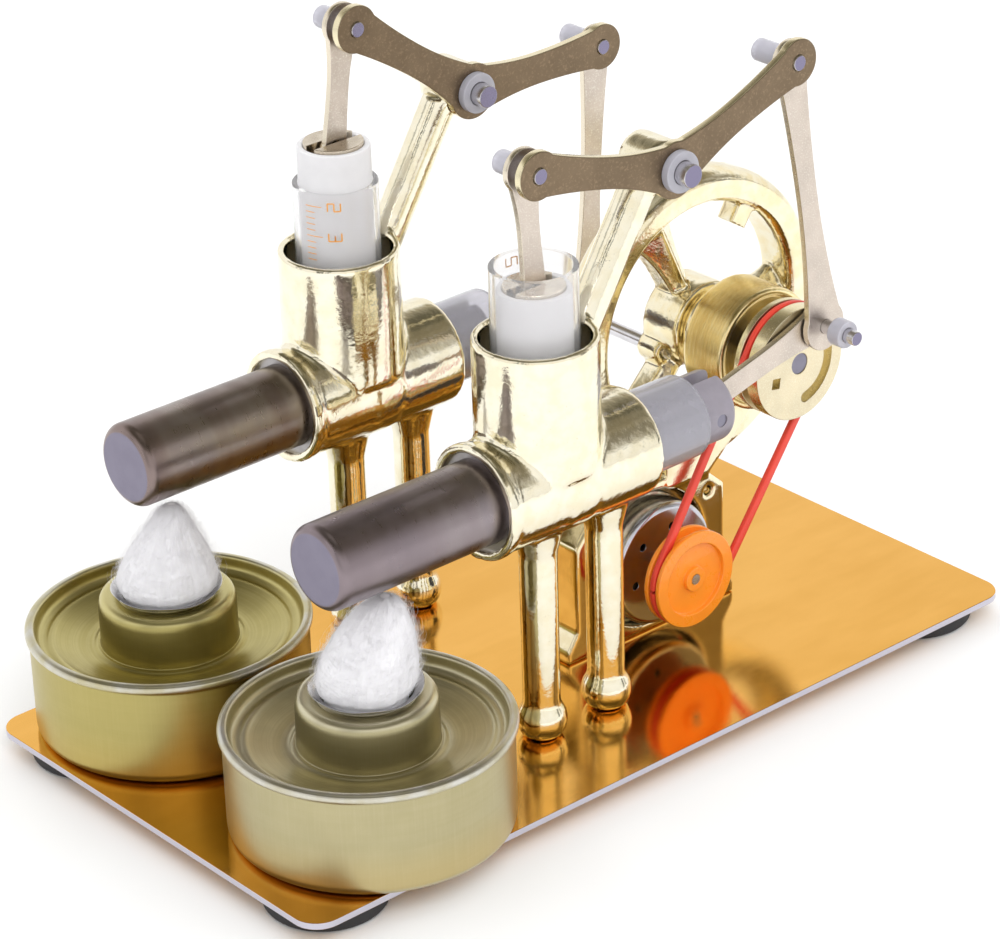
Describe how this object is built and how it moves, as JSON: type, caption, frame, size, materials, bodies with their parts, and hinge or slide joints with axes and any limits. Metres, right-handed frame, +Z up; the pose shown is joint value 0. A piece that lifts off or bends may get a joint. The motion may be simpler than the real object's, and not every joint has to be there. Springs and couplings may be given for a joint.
{
  "type": "stirling engine model",
  "caption": "Desktop hot-air engine with paired burners, rocking beams above upright glass cylinders, a spoked flywheel and a belt-driven generator on a plate.",
  "frame": {"origin": "on the ground, under the middle of the base plate and of the whole part's bounding box", "axes": "+X from the burners to the flywheel, +Y across the engines to the far side, +Z up"},
  "size_m": [0.17, 0.105, 0.1301],
  "materials": {
    "gold_plate": "brushed mirror",
    "plated_casting": "polished",
    "black_rubber": "matte",
    "dark_steel": "turned",
    "bright_steel": "satin",
    "hot_steel": "heat tinted",
    "clear_glass": "clear",
    "frosted_glass": "frosted",
    "white_nylon": "translucent",
    "tan_metal": "satin",
    "bronze": "grained",
    "burner_tin": "satin",
    "orange_plastic": "gloss",
    "red_rubber": "satin",
    "black_plastic": "matte",
    "cotton": "fluffy",
    "pale_brass": "satin"
  },
  "bodies": {
    "engine_frame": {"base_plate": "gold_plate", "base_feet": "black_rubber", "base_screws": "bright_steel", "engine_body_near": "plated_casting", "engine_body_far": "plated_casting", "hot_tube_near": "hot_steel", "hot_tube_far": "hot_steel", "tube_rings": "dark_steel", "cold_cylinder_near": "clear_glass", "cold_cylinder_far": "clear_glass", "glass_cylinder_near": "clear_glass", "glass_cylinder_far": "clear_glass", "glass_seals": "white_nylon", "pivot_pins": "bright_steel", "bearing_stand": "plated_casting", "bearing_outer_rings": "bright_steel", "motor_can": "bright_steel", "motor_end_cap": "black_plastic", "motor_terminals": "pale_brass", "drive_belt": "red_rubber"},
    "flywheel_shaft": {"crank_shaft": "dark_steel", "crank_rod": "bright_steel", "flywheel": "plated_casting", "crank_pulley": "pale_brass", "shaft_screws": "bright_steel", "bearing_inner_rings": "bright_steel"},
    "generator_rotor": {"motor_rotor": "dark_steel", "motor_pulley": "orange_plastic"},
    "near_rocker": {"rocker_near": "bronze", "rocker_pins_near": "bright_steel", "rocker_sleeves_near": "white_nylon"},
    "near_push_rod": {"push_rod_near": "tan_metal", "crank_pin_near": "bright_steel", "crank_sleeve_near": "white_nylon"},
    "near_piston_link": {"piston_link_near": "tan_metal"},
    "near_power_piston": {"power_piston_near": "frosted_glass", "piston_cap_near": "bright_steel"},
    "near_cold_piston": {"cold_piston_near": "frosted_glass", "hot_piston_near": "bright_steel", "wrist_pin_near": "dark_steel"},
    "near_connecting_rod": {"con_rod_near": "tan_metal"},
    "near_burner": {"burner_can_near": "burner_tin", "wick_cup_near": "bright_steel", "wick_near": "cotton"},
    "far_rocker": {"rocker_far": "bronze", "rocker_pins_far": "bright_steel", "rocker_sleeves_far": "white_nylon"},
    "far_push_rod": {"push_rod_far": "tan_metal"},
    "far_piston_link": {"piston_link_far": "tan_metal"},
    "far_power_piston": {"power_piston_far": "frosted_glass", "piston_cap_far": "bright_steel"},
    "far_cold_piston": {"cold_piston_far": "frosted_glass", "hot_piston_far": "bright_steel", "wrist_pin_far": "dark_steel"},
    "far_connecting_rod": {"con_rod_far": "tan_metal", "crank_pin_far": "bright_steel", "crank_sleeve_far": "white_nylon"},
    "far_burner": {"burner_can_far": "burner_tin", "wick_cup_far": "bright_steel", "wick_far": "cotton"}
  },
  "joints": [
    {"name": "flywheel_spin", "type": "hinge", "parent": "engine_frame", "child": "flywheel_shaft", "pos_m": [0.0508, 0, 0.0569], "axis": [0, -1, 0], "continuous": true},
    {"name": "generator_spin", "type": "hinge", "parent": "engine_frame", "child": "generator_rotor", "pos_m": [0.026, 0, 0.0203], "axis": [0, -1, 0], "continuous": true},
    {"name": "near_rocker_pivot", "type": "hinge", "parent": "engine_frame", "child": "near_rocker", "pos_m": [0.0153, -0.0249, 0.107], "axis": [0, -1, 0], "range_deg": [-28, 2.31]},
    {"name": "near_push_rod_pivot", "type": "hinge", "parent": "near_rocker", "child": "near_push_rod", "pos_m": [0.04487, -0.0249, 0.11869], "axis": [0, -1, 0], "range_deg": [-2.41, 28.1]},
    {"name": "near_link_pivot", "type": "hinge", "parent": "near_rocker", "child": "near_piston_link", "pos_m": [-0.01602, -0.0249, 0.11489], "axis": [0, -1, 0], "range_deg": [-1.03, 11.34]},
    {"name": "near_power_piston_slide", "type": "slide", "parent": "engine_frame", "child": "near_power_piston", "axis": [0, 0, 1], "range_m": [-0.00129, 0.01448]},
    {"name": "near_cold_piston_slide", "type": "slide", "parent": "engine_frame", "child": "near_cold_piston", "axis": [1, 0, 0], "range_m": [-0.01261, 0.00399]},
    {"name": "near_connecting_rod_pivot", "type": "hinge", "parent": "near_cold_piston", "child": "near_connecting_rod", "pos_m": [0.02381, -0.0249, 0.0569], "axis": [0, -1, 0], "range_deg": [-29.4, 1.36]},
    {"name": "near_burner_slide", "type": "slide", "parent": "engine_frame", "child": "near_burner", "axis": [-1, 0, 0], "range_m": [0, 0.06]},
    {"name": "far_rocker_pivot", "type": "hinge", "parent": "engine_frame", "child": "far_rocker", "pos_m": [0.0153, 0.0286, 0.107], "axis": [0, -1, 0], "range_deg": [-6.73, 23.58]},
    {"name": "far_push_rod_pivot", "type": "hinge", "parent": "far_rocker", "child": "far_push_rod", "pos_m": [0.0471, 0.0286, 0.10717], "axis": [0, -1, 0], "range_deg": [-23.68, 6.83]},
    {"name": "far_link_pivot", "type": "hinge", "parent": "far_rocker", "child": "far_piston_link", "pos_m": [-0.01103, 0.0286, 0.12571], "axis": [0, -1, 0], "range_deg": [-8.94, 2.62]},
    {"name": "far_power_piston_slide", "type": "slide", "parent": "engine_frame", "child": "far_power_piston", "axis": [0, 0, 1], "range_m": [-0.01208, 0.00352]},
    {"name": "far_cold_piston_slide", "type": "slide", "parent": "engine_frame", "child": "far_cold_piston", "axis": [1, 0, 0], "range_m": [-0.00177, 0.01483]},
    {"name": "far_connecting_rod_pivot", "type": "hinge", "parent": "far_cold_piston", "child": "far_connecting_rod", "pos_m": [0.01297, 0.0286, 0.0569], "axis": [0, -1, 0], "range_deg": [-6.85, 23.9]},
    {"name": "far_burner_slide", "type": "slide", "parent": "engine_frame", "child": "far_burner", "axis": [-1, 0, 0], "range_m": [0, 0.06]}
  ],
  "couplings": [
    {"joint": "generator_spin", "follows": "flywheel_spin", "ratio": 1.1899},
    {"joint": "near_push_rod_pivot", "follows": "near_rocker_pivot", "ratio": -1},
    {"joint": "near_link_pivot", "follows": "near_rocker_pivot", "ratio": -0.40158},
    {"joint": "near_power_piston_slide", "follows": "near_rocker_pivot", "m_per_rad": -0.029417},
    {"joint": "far_push_rod_pivot", "follows": "far_rocker_pivot", "ratio": -1},
    {"joint": "far_link_pivot", "follows": "far_rocker_pivot", "ratio": -0.3748},
    {"joint": "far_power_piston_slide", "follows": "far_rocker_pivot", "m_per_rad": -0.029117}
  ]
}
